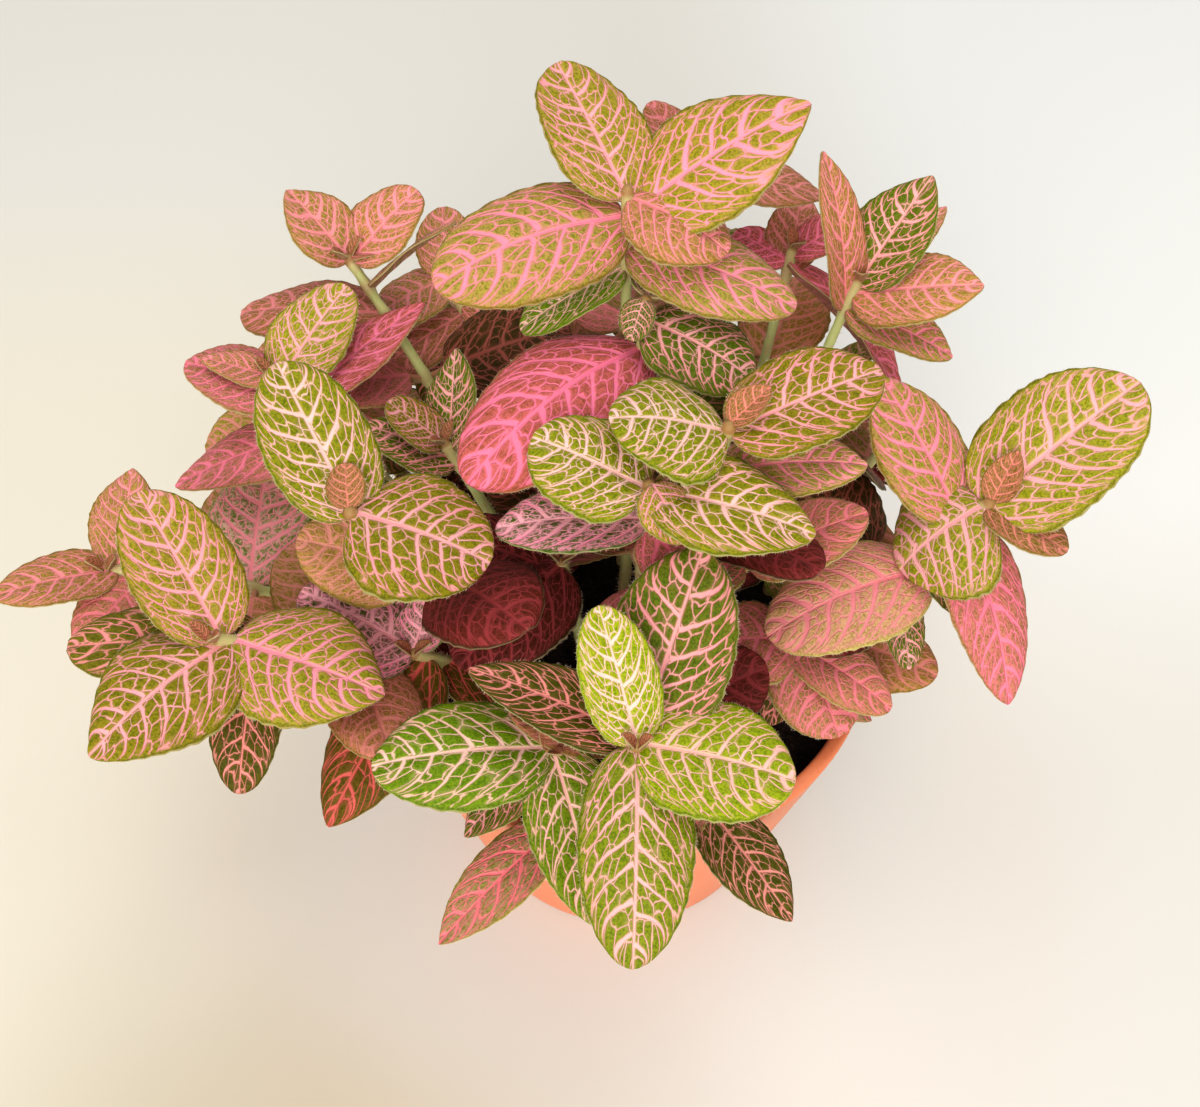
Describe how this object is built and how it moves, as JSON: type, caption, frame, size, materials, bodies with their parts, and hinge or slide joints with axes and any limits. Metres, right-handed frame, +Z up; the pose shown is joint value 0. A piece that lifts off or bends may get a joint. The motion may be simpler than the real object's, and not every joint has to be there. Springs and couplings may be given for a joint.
{
  "type": "potted nerve plant",
  "caption": "Small nerve plant with pink-veined leaves in a tapered terracotta-coloured pot filled with soil.",
  "frame": {"origin": "centre of the pot's underside, on the surface that it stands on", "axes": "+Z up along the pot's axis, -Y towards the front, +X to the right seen from the front"},
  "size_m": [0.1833, 0.148, 0.1409],
  "materials": {
    "pot": "terracotta-coloured moulded plastic, satin",
    "soil": "dark peat potting soil",
    "leaf": "thin fleshy leaves with a net of pink veins, on pale hairy stems"
  },
  "bodies": {
    "root": {"pot": "pot", "soil": "soil", "leafy_stem_back_crown": "leaf", "leafy_stem_back_far": "leaf", "leafy_stem_back_inner_left": "leaf", "leafy_stem_back_inner_right": "leaf", "leafy_stem_back_left": "leaf", "leafy_stem_back_left_low": "leaf", "leafy_stem_back_low": "leaf", "leafy_stem_back_right": "leaf", "leafy_stem_back_right_low": "leaf", "leafy_stem_back_trailing_left": "leaf", "leafy_stem_back_trailing_right": "leaf", "leafy_stem_centre": "leaf", "leafy_stem_centre_right": "leaf", "leafy_stem_crown": "leaf", "leafy_stem_far_left": "leaf", "leafy_stem_front": "leaf", "leafy_stem_front_left": "leaf", "leafy_stem_front_left_outer": "leaf", "leafy_stem_front_right": "leaf", "leafy_stem_front_trailing_left": "leaf", "leafy_stem_front_trailing_right": "leaf", "leafy_stem_inner_front": "leaf", "leafy_stem_inner_left": "leaf", "leafy_stem_inner_right": "leaf", "leafy_stem_left": "leaf", "leafy_stem_left_low": "leaf", "leafy_stem_right": "leaf", "leafy_stem_right_low": "leaf", "leafy_stem_under_crown": "leaf", "leafy_stem_upper_left": "leaf"}
  },
  "joints": []
}
